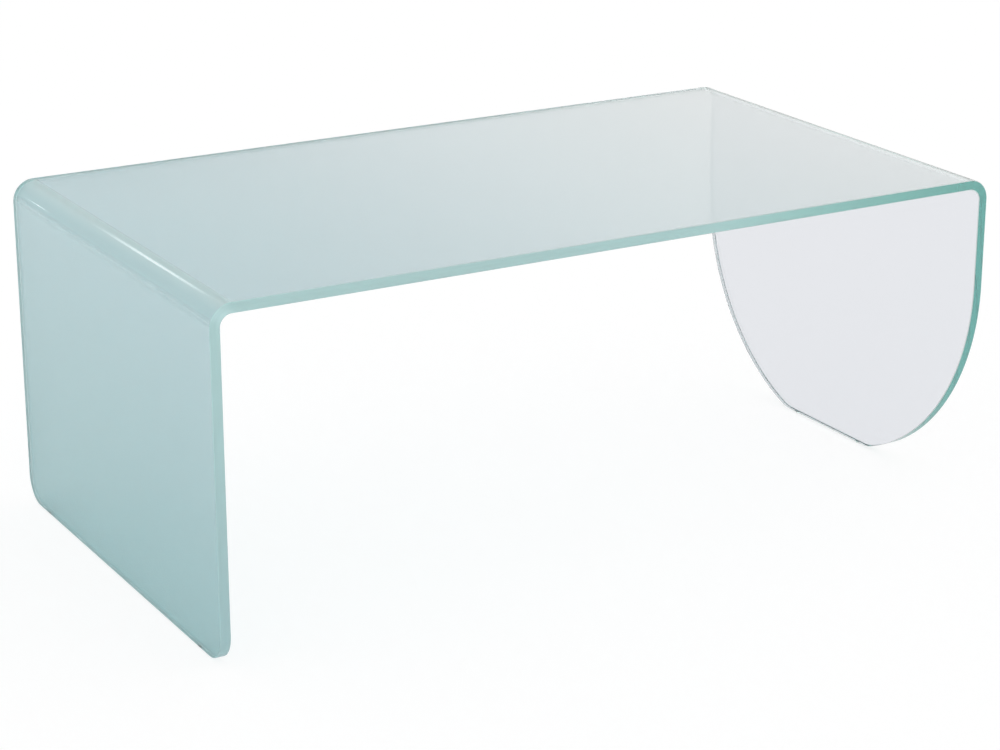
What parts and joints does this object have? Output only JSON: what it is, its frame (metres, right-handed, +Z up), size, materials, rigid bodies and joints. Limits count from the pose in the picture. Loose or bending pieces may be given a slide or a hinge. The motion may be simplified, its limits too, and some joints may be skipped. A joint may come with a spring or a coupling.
{
  "type": "waterfall coffee table",
  "caption": "Coffee table bent from a single thick glass sheet: a frosted rectangular leg fades across the top into a clear leg with a round lower edge and a flat foot.",
  "frame": {"origin": "on the floor, under the middle of the table", "axes": "+X along the length from the frosted leg to the clear leg, +Y from front to back, +Z up"},
  "size_m": [1, 0.56, 0.4],
  "materials": {
    "bent_glass": "polished clear glass with a pale teal edge",
    "frost_film": "satin translucent frost, deepest at the floor and fading to clear along the top",
    "clear_glide": "clear soft polyurethane"
  },
  "bodies": {
    "root": {"bent_glass_sheet": "bent_glass", "gradient_frost_film": "frost_film", "left_front_glide": "clear_glide", "left_rear_glide": "clear_glide", "right_front_glide": "clear_glide", "right_rear_glide": "clear_glide"}
  },
  "joints": []
}
